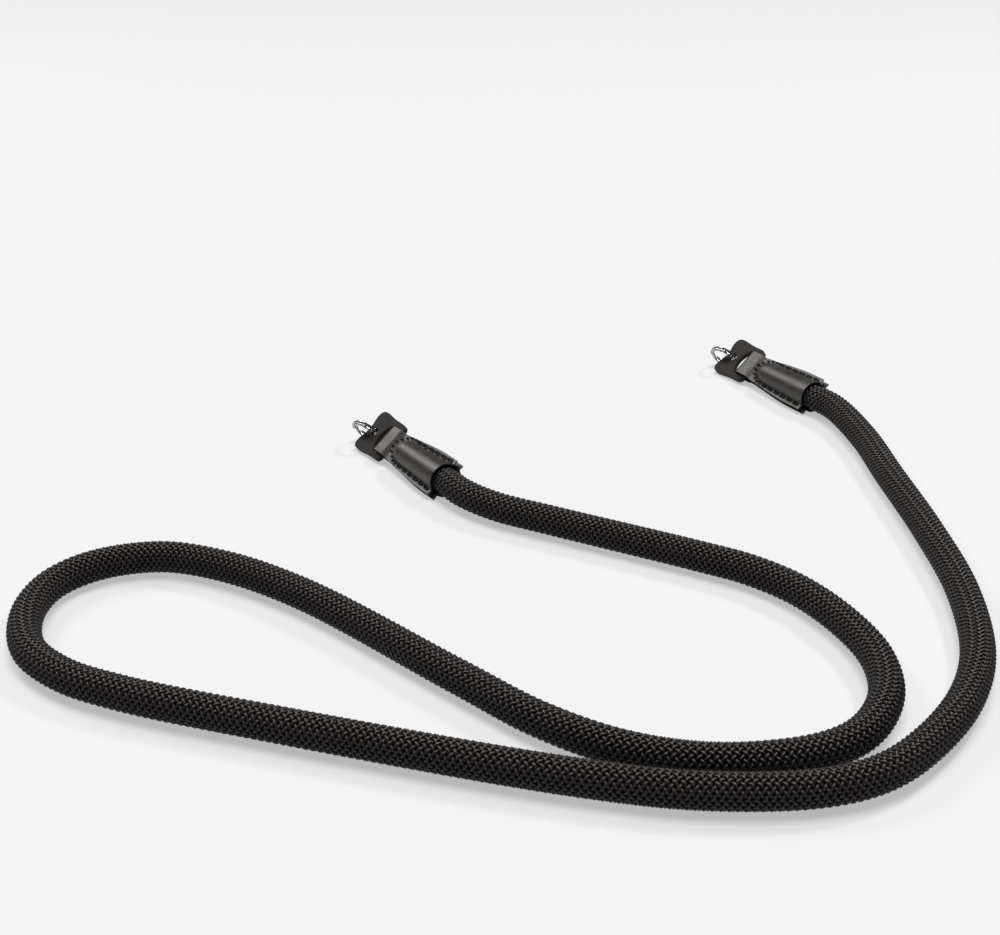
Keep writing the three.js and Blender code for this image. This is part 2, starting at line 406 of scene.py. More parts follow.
def new_material(name):
    """A plain material, with its node tree, its shader and Object coordinates."""
    material = bpy.data.materials.new(name)
    material.use_nodes = True
    tree = material.node_tree
    shader = tree.nodes["Principled BSDF"]
    place = node(tree, "ShaderNodeTexCoord", (-1200, 0)).outputs["Object"]
    return material, tree, shader, place


def link_colours(tree, shader, factor, dark, light, at=(-350, 200)):
    """Base colour between two colours by a factor that changes over the surface."""
    colours = node(tree, "ShaderNodeMix", at, data_type="RGBA")
    colours.inputs[COLOUR_A].default_value = (*dark, 1.0)
    colours.inputs[COLOUR_B].default_value = (*light, 1.0)
    tree.links.new(factor, colours.inputs["Factor"])
    tree.links.new(colours.outputs[COLOUR_MIXED], shader.inputs["Base Color"])


def link_range(tree, factor, target, low, high, at=(-350, -60)):
    """A number between two values by a factor."""
    spread = set_inputs(node(tree, "ShaderNodeMapRange", at), To_Min=low, To_Max=high)
    tree.links.new(factor, spread.inputs["Value"])
    tree.links.new(spread.outputs["Result"], target)


def link_bump(tree, shader, height, strength, distance):
    """Relief on the surface by a height, with the distance in metres."""
    bump = node(tree, "ShaderNodeBump", (-250, -300))
    set_inputs(bump, Strength=strength, Distance=distance)
    tree.links.new(height, bump.inputs["Height"])
    tree.links.new(bump.outputs["Normal"], shader.inputs["Normal"])


def toned_material(name, scale, dark, light):
    """A material between two colours by the slow tone, with the tone's socket."""
    material, tree, shader, place = new_material(name)
    tone = group_node(tree, "Slow tone", (-800, 200), place, Scale=scale).outputs["Tone"]
    link_colours(tree, shader, tone, dark, light)
    return material, tree, shader, tone


# Colours of the gloss, and how much the leather's polish varies
YARN_GLOSS = (1.0, 0.92, 0.88, 1.0)
LEATHER_GLOSS = (1.0, 0.95, 0.9, 1.0)
UNEVEN_POLISH = 0.12


def yarn_material():
    """Black yarn: streaks along each strand, crests that shine and are painted lighter, flanks and dips
    painted dark as shade, and a tone that drifts.
    """
    values = settings("rope")
    material, tree, shader, place = new_material("Braided yarn")
    along = node(tree, "ShaderNodeUVMap", (-1200, -250), uv_map="strand")
    stretch = node(tree, "ShaderNodeMapping", (-1000, -250))
    stretch.inputs["Scale"].default_value = (500.0, 16.0, 1.0)
    streaks = set_inputs(node(tree, "ShaderNodeTexNoise", (-800, -250)), Scale=1.0, Detail=2.0)
    tone = group_node(tree, "Slow tone", (-800, 200), place, Scale=420.0)
    # Painted light and shade: the crest attribute gives a painted highlight on the strands' crests and
    # painted shade on their flanks and where they dip under.
    crown = node(tree, "ShaderNodeAttribute", (-800, 420), attribute_name="crown")
    patchy = set_inputs(node(tree, "ShaderNodeMapRange", (-600, 200)), To_Min=0.55)
    both = node(tree, "ShaderNodeMath", (-450, 300), operation="MULTIPLY")
    tree.links.new(along.outputs["UV"], stretch.inputs["Vector"])
    tree.links.new(stretch.outputs["Vector"], streaks.inputs["Vector"])
    tree.links.new(tone.outputs["Tone"], patchy.inputs["Value"])
    tree.links.new(crown.outputs["Fac"], both.inputs[0])
    tree.links.new(patchy.outputs["Result"], both.inputs[1])
    link_colours(tree, shader, both.outputs["Value"], values.dark, values.light, (-250, 200))
    link_range(tree, crown.outputs["Fac"], shader.inputs["Roughness"], low=0.8, high=0.36)
    shader.inputs["Specular IOR Level"].default_value = 0.75
    shader.inputs["Specular Tint"].default_value = YARN_GLOSS
    link_bump(tree, shader, streaks.outputs["Fac"], strength=0.4, distance=0.06 * MM)
    return material


def core_material():
    """The dark filling that shows only deep between strands."""
    dark, light = (0.002, 0.002, 0.002), (0.006, 0.0055, 0.005)
    material, _, shader, _ = toned_material("Rope core", 900.0, dark, light)
    shader.inputs["Roughness"].default_value = 0.9
    return material


def leather_material(name, values, roughness, shine, grain, depth):
    """Leather with grain, a rubbed tone, an uneven polish and a warm gloss."""
    material, tree, shader, place = new_material(name)
    pebbles = group_node(tree, "Leather grain", (-850, -250), place, Scale=grain)
    tone = group_node(tree, "Slow tone", (-850, 200), place, Scale=330.0)
    worn = node(tree, "ShaderNodeMath", (-580, 100), operation="MULTIPLY")
    tree.links.new(tone.outputs["Tone"], worn.inputs[0])
    tree.links.new(pebbles.outputs["Height"], worn.inputs[1])
    link_colours(tree, shader, worn.outputs["Value"], values.dark, values.light)
    polish = shader.inputs["Roughness"]
    link_range(tree, tone.outputs["Tone"], polish, roughness, roughness + UNEVEN_POLISH)
    shader.inputs["Specular IOR Level"].default_value = shine
    shader.inputs["Specular Tint"].default_value = LEATHER_GLOSS
    link_bump(tree, shader, pebbles.outputs["Height"], strength=0.5, distance=depth)
    return material


def cut_edge_material():
    """The dyed, fibrous cut edge of the leather."""
    dark, light = (0.014, 0.0132, 0.0125), (0.042, 0.039, 0.036)
    material, tree, shader, tone = toned_material("Cut leather edge", 1500.0, dark, light)
    shader.inputs["Roughness"].default_value = 0.75
    link_bump(tree, shader, tone, strength=0.5, distance=0.1 * MM)
    return material


def thread_material():
    """Waxed black thread."""
    dark, light = (0.004, 0.004, 0.004), (0.014, 0.0135, 0.013)
    material, tree, shader, tone = toned_material("Waxed thread", 3000.0, dark, light)
    shader.inputs["Roughness"].default_value = 0.5
    link_bump(tree, shader, tone, strength=0.6, distance=0.08 * MM)
    return material


def steel_material():
    """Plated spring steel with faint rubbing marks."""
    dark, light = (0.40, 0.395, 0.39), (0.54, 0.535, 0.53)
    material, tree, shader, tone = toned_material("Plated steel", 700.0, dark, light)
    link_range(tree, tone, shader.inputs["Roughness"], low=0.14, high=0.3)
    shader.inputs["Metallic"].default_value = 1.0
    return material


# Rope

# How far the rope goes into each mouth, and how finely its route is divided
TUCK = 9 * MM
TUCK_STEPS = 12
ROUTE_STEP = 0.4 * MM
SPAN_STEPS = 120
# Share of its thickness that the rope keeps inside a mouth, and where it narrows
SQUEEZE = 0.935
SQUEEZE_REACH = (-1 * MM, 3 * MM)


def route_line():
    """Evenly spaced points along a smooth curve through the route, and its length."""
    knots = np.array(ROUTE)
    knots = np.vstack([2 * knots[0] - knots[1], knots, 2 * knots[-1] - knots[-2]])
    share = np.linspace(0, 1, SPAN_STEPS, endpoint=False)[:, None]
    runs = []
    for before, here, there, after in zip(knots, knots[1:], knots[2:], knots[3:]):
        first = math.sqrt(np.linalg.norm(here - before))
        middle = math.sqrt(np.linalg.norm(there - here))
        last = math.sqrt(np.linalg.norm(after - there))
        pace = (there - here) / middle
        leave = (here - before) / first - (there - before) / (first + middle) + pace
        enter = pace - (after - here) / (middle + last) + (after - there) / last
        cube = 2 * (here - there) + (leave + enter) * middle
        square = 3 * (there - here) - (2 * leave + enter) * middle
        runs.append(((cube * share + square) * share + leave * middle) * share + here)
    points = np.vstack([*runs, knots[-2]])
    far = np.concatenate([[0], np.cumsum(np.linalg.norm(np.diff(points, axis=0), axis=1))])
    even = np.linspace(0, far[-1], int(far[-1] / ROUTE_STEP) + 1)
    places = [np.interp(even, far, points[:, axis]) for axis in range(3)]
    return np.stack(places, axis=1), far[-1]


class RopeLine:
    """The rope's centreline, tucked straight into each mouth, with its directions up and sideways."""

    def __init__(self, tuck=TUCK):
        points, self.length = route_line()
        first = (points[0] - points[1]) / np.linalg.norm(points[0] - points[1])
        last = (points[-1] - points[-2]) / np.linalg.norm(points[-1] - points[-2])
        reach = np.linspace(tuck, 0, TUCK_STEPS, endpoint=False)[:, None]
        self.points = np.vstack([points[0] + reach * first, points, points[-1] + reach[::-1] * last])
        steps = np.linalg.norm(np.diff(self.points, axis=0), axis=1)
        self.far = np.concatenate([[0], np.cumsum(steps)]) - tuck
        self.tuck = tuck
        ahead = np.gradient(self.points, self.far, axis=0)
        ahead /= np.linalg.norm(ahead, axis=1)[:, None]
        up = np.array([0.0, 0.0, 1.0]) - ahead * ahead[:, 2:]
        self.up = up / np.linalg.norm(up, axis=1)[:, None]
        self.side = np.cross(ahead, self.up)

    def at(self, far, rows):
        """The centreline's points or directions at distances along it."""
        return np.stack([np.interp(far, self.far, rows[:, axis]) for axis in range(3)], axis=-1)

    def narrowing(self, far):
        """The rope is squeezed where it goes into the leather."""
        inside = np.minimum(far, self.length - far)
        return mix(SQUEEZE, 1.0, smooth(*SQUEEZE_REACH, inside))

    def place(self, far, angle, radius):
        """Points on the rope by distance along it, angle round it and distance from its centre."""
        away = np.cos(angle)[..., None] * self.at(far, self.up)
        away = away + np.sin(angle)[..., None] * self.at(far, self.side)
        return self.at(far, self.points) + (radius * self.narrowing(far))[..., None] * away


def tube_parts(rings, distances, crown):
    """A closed tube through rings of points, with its UV map and its attribute of painted crest light."""
    count, sides = rings.shape[:2]
    ring = np.arange(count - 1)[:, None] * sides
    side = np.arange(sides)[None, :]
    following = (side + 1) % sides
    above = ring + sides
    quads = np.stack([ring + side, above + side, above + following, ring + following], axis=-1)
    faces = quads.reshape(-1, 4).tolist()
    faces.append(list(range(sides)))
    faces.append(list(range(count * sides - 1, (count - 1) * sides - 1, -1)))
    low, high = distances[:-1, None], distances[1:, None]
    start, stop = side / sides, (side + 1) / sides
    flat = np.zeros((count - 1, sides, 4, 2))
    flat[..., 0, 0], flat[..., 1, 0], flat[..., 2, 0], flat[..., 3, 0] = low, high, high, low
    flat[..., 0, 1], flat[..., 1, 1], flat[..., 2, 1], flat[..., 3, 1] = start, start, stop, stop
    ends = np.zeros((2 * sides, 2))
    return rings.reshape(-1, 3), faces, np.vstack([flat.reshape(-1, 2), ends]), crown.ravel()


def joined_mesh(name, tubes):
    """Several tubes as one smooth mesh."""
    places, faces, flat, crests = [], [], [], []
    offset = 0
    for points, corners, uv, crown in tubes:
        places.append(points)
        faces.extend([[corner + offset for corner in face] for face in corners])
        flat.append(uv)
        crests.append(crown)
        offset += len(points)
    mesh = bpy.data.meshes.new(name)
    mesh.from_pydata(np.vstack(places).tolist(), [], faces)
    layer = mesh.uv_layers.new(name="strand")
    layer.uv.foreach_set("vector", np.vstack(flat).astype(np.float32).ravel())
    # Attribute of painted light: lighter on the crests, painted shade low on the strands.
    crest = mesh.attributes.new("crown", "FLOAT", "POINT")
    crest.data.foreach_set("value", np.concatenate(crests).astype(np.float32))
    mesh.polygons.foreach_set("use_smooth", np.ones(len(mesh.polygons), dtype=bool))
    mesh.update()
    return mesh


# A strand over one float: place along it in crossings, height from under to over, width, and painted
# crest light (lighter on top, painted shade where it dips under)
FLOAT_RINGS = [
    (-0.56, 0.38, 0.95, 0.8),
    (0.0, 1.0, 1.0, 1.0),
    (0.56, 0.38, 0.95, 0.8),
    (1.0, -1.0, 0.8, 0.0),
]
# A strand's section: places across it and up, and how much of the painted crest light each has (the
# flanks get painted shade)
SECTION = [
    (1.0, 0.0, 0.0),
    (0.7, 0.66, 0.3),
    (0.0, 1.0, 1.0),
    (-0.7, 0.66, 0.3),
    (-1.0, 0.0, 0.0),
    (0.0, -0.5, 0.0),
]
# Slow waves of the twist along the rope: radians a metre, and share of the twist
TWIST_WAVES = [(9.0, 1.0), (31.0, 0.4)]
# How far strands and filling stop short of the tucked ends
STRAND_SHORT = 1.5 * MM
CORE_SHORT = 1.0 * MM
# How far the filling comes up past the underside of the lowest strands, and how finely it is divided
CORE_PROUD = 0.5 * MM
CORE_STEPS = 420
CORE_SIDES = 16


def strand_tube(line, values, index, hand):
    """One strand of the braid: hand is 1 or -1, the way it winds."""
    each_way = values.carriers // 2
    crossing = values.lead / values.carriers
    over = 0 if hand > 0 else 1
    first = (-line.tuck + STRAND_SHORT) / crossing
    last = (line.length + line.tuck - STRAND_SHORT) / crossing
    reach = sorted((hand * first + 2 * index, hand * last + 2 * index))
    floats = np.arange(math.floor(reach[0] / 2) - 1, math.ceil(reach[1] / 2) + 2)
    rings = np.array(FLOAT_RINGS)
    column = (over + 2 * floats[:, None] + rings[None, :, 0]).ravel()
    lift = np.tile(rings[:, 1], len(floats))
    broad = np.tile(rings[:, 2], len(floats))
    # Share of painted crest light at each ring, from the float table's last column.
    crest = np.tile(rings[:, 3], len(floats))
    far = (column - 2 * index) * crossing * hand
    keep = (far > first * crossing) & (far < last * crossing)
    order = np.argsort(far[keep])
    rows = (column, lift, broad, crest, far)
    column, lift, broad, crest, far = (row[keep][order] for row in rows)
    outside = values.diameter / 2
    slope = math.atan2(2 * math.pi * outside, values.lead)
    middle = outside - values.strand_height / 2 - values.dip * (1 - lift) / 2
    angle = column * math.pi / each_way
    section = np.array(SECTION)
    across = section[None, :, 0] * (broad * values.strand_width / 2)[:, None]
    rise = section[None, :, 1] * values.strand_height / 2
    spot = far[:, None] - hand * math.sin(slope) * across
    turn = angle[:, None] + math.cos(slope) * across / middle[:, None]
    for waves, share in TWIST_WAVES:
        turn = turn + values.twist * share * np.sin(spot * waves)
    rings = line.place(spot, turn, middle[:, None] + rise)
    return tube_parts(rings, far / math.cos(slope), crest[:, None] * section[None, :, 2])


def core_tube(line, values):
    """The filling under the strands."""
    reach = line.tuck - CORE_SHORT
    far = np.linspace(-reach, line.length + reach, CORE_STEPS)
    turn = np.linspace(0, -2 * math.pi, CORE_SIDES, endpoint=False)
    radius = values.diameter / 2 - values.strand_height - values.dip + CORE_PROUD
    spot, angle = np.meshgrid(far, turn, indexing="ij")
    rings = line.place(spot, angle, np.full_like(spot, radius))
    return tube_parts(rings, far, np.zeros_like(spot))


class STRAP_OT_rope(Operator):
    """Lay the braided rope along its route"""

    bl_idname = "strap.rope"
    bl_label = "Braided rope"

    def execute(self, context):
        values = settings("rope")
        line = RopeLine()
        filling = joined_mesh("rope_core", [core_tube(line, values)])
        core = add_object("rope_core", filling, [core_material()])
        yarn = yarn_material()
        each_way = values.carriers // 2
        for hand, way in ((1, "right"), (-1, "left")):
            for part, first in (("a", 0), ("b", each_way // 2)):
                tubes = [strand_tube(line, values, first + k, hand) for k in range(each_way // 2)]
                name = f"braid_{way}_{part}"
                add_object(name, joined_mesh(name, tubes), [yarn])
        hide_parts("rope")
        return {"FINISHED"}


# Leather strips, measured along their axis from the mouth

STRIP_START = 0.3 * MM
STRIP_LENGTH = 42 * MM
FRONT_START = 1.7 * MM
STUB_LENGTH = 26 * MM
STUB_MOUTH = 4.6 * MM
STUB_TIP = 3.5 * MM
DOME_LENGTH = 6 * MM
SHOULDER = (8 * MM, 38 * MM)
LOOP_LENGTH = 5.2 * MM
LOOP_RAMP = 3 * MM
CLEAR = 0.3 * MM
BULGE_MARGIN = 1.3 * MM
BULGE_POWER = 0.6
TINY = 1e-9
WALL_SLACK = 0.06 * MM
SOFT_EDGE = 0.22 * MM


def stub_radius(along):
    return mix(STUB_MOUTH, STUB_TIP, np.clip(along / STUB_LENGTH, 0, 1))


def fold_radius(values):
    return settings("pad").thickness / 2 + CLEAR + values.leather


def strip_half_width(values, along):
    return mix(values.width, values.fold_width, smooth(*SHOULDER, along)) / 2


def bulge_half_width(along):
    """Half the width of the bulge over the rope, closing to a round end."""
    closing = np.clip((along - STUB_LENGTH) / DOME_LENGTH, 0, 1)
    return (stub_radius(along) + BULGE_MARGIN) * np.sqrt(1 - closing**2)


# Seam beside the bulge: where it starts, its distance from the bulge, and its stitches and their dents
SEAM_START = 3.0 * MM
SEAM_MARGIN = 0.55 * MM
SEAM_STEPS = 120
STITCH_SHARE = 0.54
ARCH_STITCH_LENGTH = 1.2 * MM
DENT_DEPTH = 0.85 * MM
DENT_REACH = 0.55 * MM
THREAD_SINK = 0.75 * MM
THREAD_END = 0.1 * MM


def stitch_line():
    """Points of the U-shaped seam: along one side, round the rope's end and back along the other."""
    run = np.linspace(SEAM_START, STUB_LENGTH, SEAM_STEPS)
    side = np.stack([run, stub_radius(run) + BULGE_MARGIN + SEAM_MARGIN], axis=1)
    turn = np.linspace(math.pi / 2, -math.pi / 2, SEAM_STEPS)[1:-1]
    tip = STUB_LENGTH + (DOME_LENGTH + SEAM_MARGIN) * np.cos(turn)
    arch = np.stack([tip, (STUB_TIP + BULGE_MARGIN + SEAM_MARGIN) * np.sin(turn)], axis=1)
    back = side[::-1] * np.array([1, -1])
    return np.vstack([side, arch, back])


def seam_spot(line, far, distance):
    """The point of the seam at a distance along it."""
    return np.array([np.interp(distance, far, line[:, axis]) for axis in range(2)])


def stitches(values):
    """The two ends of each stitch: along the seam at the sides, across it round the rope's end."""
    line = stitch_line()
    far = np.concatenate([[0], np.cumsum(np.linalg.norm(np.diff(line, axis=0), axis=1))])
    side = far[SEAM_STEPS - 1]
    arch = far[-1] - 2 * side
    rows = []
    for first in (0, side + arch):
        count = round(side / values.stitch)
        half = side / count * STITCH_SHARE / 2
        for step in range(count):
            middle = first + side * (step + 0.5) / count
            rows.append((seam_spot(line, far, middle - half), seam_spot(line, far, middle + half)))
    count = round(arch / values.arch_stitch)
    for step in range(count):
        spot = seam_spot(line, far, side + arch * (step + 0.5) / count)
        out = spot - np.array([STUB_LENGTH, 0])
        out = out / np.linalg.norm(out) * ARCH_STITCH_LENGTH / 2
        rows.append((spot - out, spot + out))
    return rows


def strip_half_thickness(values, along, across):
    """Half the strip's thickness: bulged over the rope, sewn flat beside it, thicker at the fold."""
    fold = fold_radius(values)
    half = np.maximum(bulge_half_width(along), TINY)
    closing = np.clip((along - STUB_LENGTH) / DOME_LENGTH, 0, 1)
    bulge = (stub_radius(along) + CLEAR) * np.sqrt(1 - closing**2)
    bulge = bulge * np.clip(1 - (across / half) ** 2, 0, 1) ** BULGE_POWER
    loop = STRIP_LENGTH - values.leather - LOOP_LENGTH
    sewn = mix(values.leather, fold, smooth(loop - LOOP_RAMP, loop, along))
    return np.maximum(sewn, values.leather + bulge)


def seam_dents(values, along, across):
    """How far the surface is drawn in by the thread, at each point."""
    depth = np.zeros_like(along)
    for start, stop in stitches(values):
        reach = stop - start
        part = ((along - start[0]) * reach[0] + (across - start[1]) * reach[1]) / (reach @ reach)
        part = np.clip(part, 0, 1)
        off = np.hypot(along - start[0] - part * reach[0], across - start[1] - part * reach[1])
        depth = np.maximum(depth, np.exp(-((off / DENT_REACH) ** 2)))
    return DENT_DEPTH * depth


STRIP_ROWS = 320
STRIP_COLUMNS = 72
DENT_SOFTENING = 0.35


def strip_mesh(values, name, place):
    """The leather as one long strip: up the front, round the fold and down the back."""
    bm = bmesh.new()
    bmesh.ops.create_grid(bm, x_segments=STRIP_ROWS, y_segments=STRIP_COLUMNS, size=1.0)
    fold = fold_radius(values)
    fold_at = STRIP_LENGTH - fold
    front = fold_at - FRONT_START
    bend = math.pi * fold
    back = fold_at - STRIP_START
    grid = np.array([vert.co[:2] for vert in bm.verts])
    far = (grid[:, 0] + 1) / 2 * (front + bend + back)
    turn = np.clip((far - front) / bend, 0, 1) * math.pi
    along = np.where(far < front, FRONT_START + far, fold_at - (far - front - bend))
    along = np.where((turn > 0) & (turn < math.pi), fold_at + fold * np.sin(turn), along)
    across = grid[:, 1] * strip_half_width(values, along)
    flat = strip_half_thickness(values, along, across) - seam_dents(values, along, across)
    facing = np.where(far < front, 1.0, -1.0)
    up = np.where((turn > 0) & (turn < math.pi), fold * np.cos(turn), facing * flat)
    for vert, spot in zip(bm.verts, np.stack([along, across, up], axis=1)):
        vert.co = spot
    bmesh.ops.smooth_vert(
        bm, verts=bm.verts, factor=DENT_SOFTENING, use_axis_x=False, use_axis_y=False, use_axis_z=True
    )
    return mesh_from(bm, name, place)


WALL_CLAMP = 0.6
SHARP_EDGE = math.radians(50)


def add_wall(piece, thickness, edge):
    """Leather's thickness under its outer face, with softened cut edges."""
    wall = piece.modifiers.new("Leather thickness", "SOLIDIFY")
    wall.thickness = thickness
    wall.offset = -1.0
    wall.use_even_offset = True
    wall.thickness_clamp = WALL_CLAMP
    wall.material_offset_rim = 1
    soft = piece.modifiers.new("Soft edges", "BEVEL")
    soft.width = edge
    soft.segments = 2
    soft.limit_method = "ANGLE"
    soft.angle_limit = SHARP_EDGE


class STRAP_OT_strips(Operator):
    """Fold the leather strips over the rope's ends"""

    bl_idname = "strap.strips"
    bl_label = "Leather strips"

    def execute(self, context):
        values = settings("strip")
        leather = leather_material(
            "Smooth leather", values, roughness=0.34, shine=0.9, grain=2600.0, depth=0.03 * MM
        )
        edge = cut_edge_material()
        for end in ENDS:
            name = "leather_strip_" + end["side"]
            piece = add_object(name, strip_mesh(values, name, end_matrix(end)), [leather, edge])
            add_wall(piece, values.leather - WALL_SLACK, SOFT_EDGE)
            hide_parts("end_strip_" + end["side"])
        return {"FINISHED"}


class STRAP_OT_stitches(Operator):
    """Sew the strips along both sides of the rope and round its end"""

    bl_idname = "strap.stitches"
    bl_label = "Stitches"

    def execute(self, context):
        values = settings("strip")
        thread = thread_material()
        for end in ENDS:
            bm = bmesh.new()
            for facing in (1, -1):
                for start, stop in stitches(values):
                    self.add_stitch(bm, values, start, stop, facing)
            name = "stitches_" + end["side"]
            piece = add_object(name, mesh_from(bm, name, end_matrix(end)), [thread])
        return {"FINISHED"}

    @staticmethod
    def add_stitch(bm, values, start, stop, facing):
        """One sunk stitch from hole to hole on a face."""
        ends = []
        for spot in (start, stop):
            height = strip_half_thickness(values, np.array(spot[0]), np.array(spot[1]))
            ends.append(Vector((spot[0], spot[1], facing * (float(height) - THREAD_SINK))))
        reach = ends[1] - ends[0]
        turn = reach.to_track_quat("X", "Z").to_matrix().to_4x4()
        half = values.thread / 2
        size = Matrix.Diagonal((reach.length / 2 + THREAD_END, half, half, 1))
        place = Matrix.Translation((ends[0] + ends[1]) / 2) @ turn @ size
        bmesh.ops.create_uvsphere(bm, u_segments=8, v_segments=6, radius=1.0, matrix=place)


# Ring pads, measured along the strip's axis from the edge inside its fold

PAD_LENGTH = 17 * MM
PAD_NECK = 16.6 * MM
PAD_WING = 17.8 * MM
PAD_BAR = 3.7 * MM
PAD_CORNER = 2.4 * MM
WING_TIP_LENGTH = 3.2 * MM
WING_TIP_WIDTH = 2.8 * MM
CLEFT_DEPTH = 0.9 * MM
SLOT_WIDTH = 12.4 * MM
SLOT_SIDE = 2.3 * MM
SLOT_DEPTH = 4.9 * MM
KEYHOLE_CENTRE = 12.3 * MM
KEYHOLE_DIAMETER = 3.4 * MM
SLIT_WIDTH = 0.8 * MM
SLIT_ROUND = 0.8 * MM
# Handles of the curves that flare to the wings and run down into the cleft between them
FLARE_START = 9.5 * MM
FLARE_END = 11.5 * MM
CLEFT_OUTER = 3.5 * MM
CLEFT_INNER = 3 * MM
# How finely the arcs are divided, and which edges are rims of the pad's flat faces
KEYHOLE_STEPS = 12
SLOT_STEPS = 16
RIM_ANGLE = math.radians(60)
LEVEL = 0.001 * MM


def bezier(points, steps):
    """Points of a Bezier curve of any degree, without its last one."""
    spots = []
    for step in range(steps):
        part = step / steps
        rows = [Vector(point) for point in points]
        while len(rows) > 1:
            rows = [a.lerp(b, part) for a, b in zip(rows, rows[1:])]
        spots.append(rows[0])
    return spots


def pad_half_outline():
    """The pad's outline on one side, from the bar's corner round the wing to the keyhole."""
    neck, wing = PAD_NECK / 2, PAD_WING / 2
    slit, hole = SLIT_WIDTH / 2, KEYHOLE_DIAMETER / 2
    flare, length = PAD_BAR + SLOT_SIDE, PAD_LENGTH
    tip, mouth = length - WING_TIP_LENGTH, length - CLEFT_DEPTH
    brink, lip = wing - WING_TIP_WIDTH, slit + SLIT_ROUND
    spots = bezier([(0, neck - PAD_CORNER), (0, neck), (PAD_CORNER, neck)], steps=8)
    spots += bezier([(PAD_CORNER, neck), (flare, neck)], steps=3)
    spots += bezier([(flare, neck), (FLARE_START, neck), (FLARE_END, wing), (tip, wing)], steps=12)
    spots += bezier([(tip, wing), (length, wing), (length, brink)], steps=8)
    spots += bezier([(length, brink), (length, CLEFT_OUTER), (mouth, CLEFT_INNER), (mouth, lip)], steps=8)
    spots += bezier([(mouth, lip), (mouth, slit), (mouth - SLIT_ROUND, slit)], steps=4)
    first = math.asin(slit / hole)
    for step in range(KEYHOLE_STEPS + 1):
        turn = mix(first, math.pi, step / KEYHOLE_STEPS)
        spots.append(Vector((KEYHOLE_CENTRE + hole * math.cos(turn), hole * math.sin(turn))))
    return spots


def slot_outline():
    """The D-shaped slot: straight along the bar, curved on the ring's side."""
    half, rise = SLOT_WIDTH / 2, SLOT_DEPTH - SLOT_SIDE
    radius = (half**2 + rise**2) / (2 * rise)
    sweep = math.asin(half / radius)
    spots = [Vector((PAD_BAR, -half)), Vector((PAD_BAR, 0)), Vector((PAD_BAR, half))]
    centre = PAD_BAR + SLOT_DEPTH - radius
    for step in range(SLOT_STEPS + 1):
        turn = mix(sweep, -sweep, step / SLOT_STEPS)
        spots.append(Vector((centre + radius * math.cos(turn), radius * math.sin(turn))))
    return spots


def pad_start():
    """From the mouth to the pad's bar edge: the bar lies against the inside of the fold."""
    half = settings("pad").thickness / 2
    inner = half + CLEAR
    reach = math.sqrt(inner**2 - half**2)
    return STRIP_LENGTH - settings("strip").leather - inner + reach - CLEAR - PAD_BAR


def pad_mesh(values, name, place):
    """A flat pad with its slot and keyhole, and rounded edges."""
    bm = bmesh.new()
    half = pad_half_outline()
    other = [Vector((spot.x, -spot.y)) for spot in half[-2::-1]]
    edges = []
    for loop in (half + other, slot_outline()):
        verts = [bm.verts.new((spot.x, spot.y, -values.thickness / 2)) for spot in loop]
        edges += [bm.edges.new((a, b)) for a, b in zip(verts, verts[1:] + verts[:1])]
    bmesh.ops.triangle_fill(bm, use_beauty=True, edges=edges, normal=(0, 0, 1))
    grown = bmesh.ops.extrude_face_region(bm, geom=bm.faces[:])
    raised = [item for item in grown["geom"] if isinstance(item, bmesh.types.BMVert)]
    bmesh.ops.translate(bm, vec=(0, 0, values.thickness), verts=raised)
    bmesh.ops.recalc_face_normals(bm, faces=bm.faces)
    rims = [edge for edge in bm.edges if edge.calc_face_angle(0) > RIM_ANGLE]
    rims = [edge for edge in rims if abs(edge.verts[0].co.z - edge.verts[1].co.z) < LEVEL]
    bmesh.ops.bevel(
        bm, geom=rims, offset=values.edge, offset_type="OFFSET", segments=3, profile=0.5,
        affect="EDGES", clamp_overlap=True, material=-1,
    )
    return mesh_from(bm, name, place)


class STRAP_OT_pads(Operator):
    """Cut the leather ring pads and hang them in the strips' folds"""

    bl_idname = "strap.pads"
    bl_label = "Ring pads"

    def execute(self, context):
        values = settings("pad")
        leather = leather_material(
            "Pad leather", values, roughness=0.55, shine=0.3, grain=1900.0, depth=0.05 * MM
        )
        for end in ENDS:
            name = "leather_pad_" + end["side"]
            place = end_matrix(end) @ Matrix.Translation((pad_start(), 0, 0))
            piece = add_object(name, pad_mesh(values, name, place), [leather])
            piece.modifiers.new("Flat faces", "WEIGHTED_NORMAL")
            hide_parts("ring_pad_" + end["side"])
        return {"FINISHED"}


# Split rings: their swing in degrees, and the jog between coils as a share of a turn

RING_SWING = 14.5
RING_JOG = 0.16
COIL_GAP = 0.12 * MM
WIRE_ROUNDING = 0.6
RING_STEPS = 110


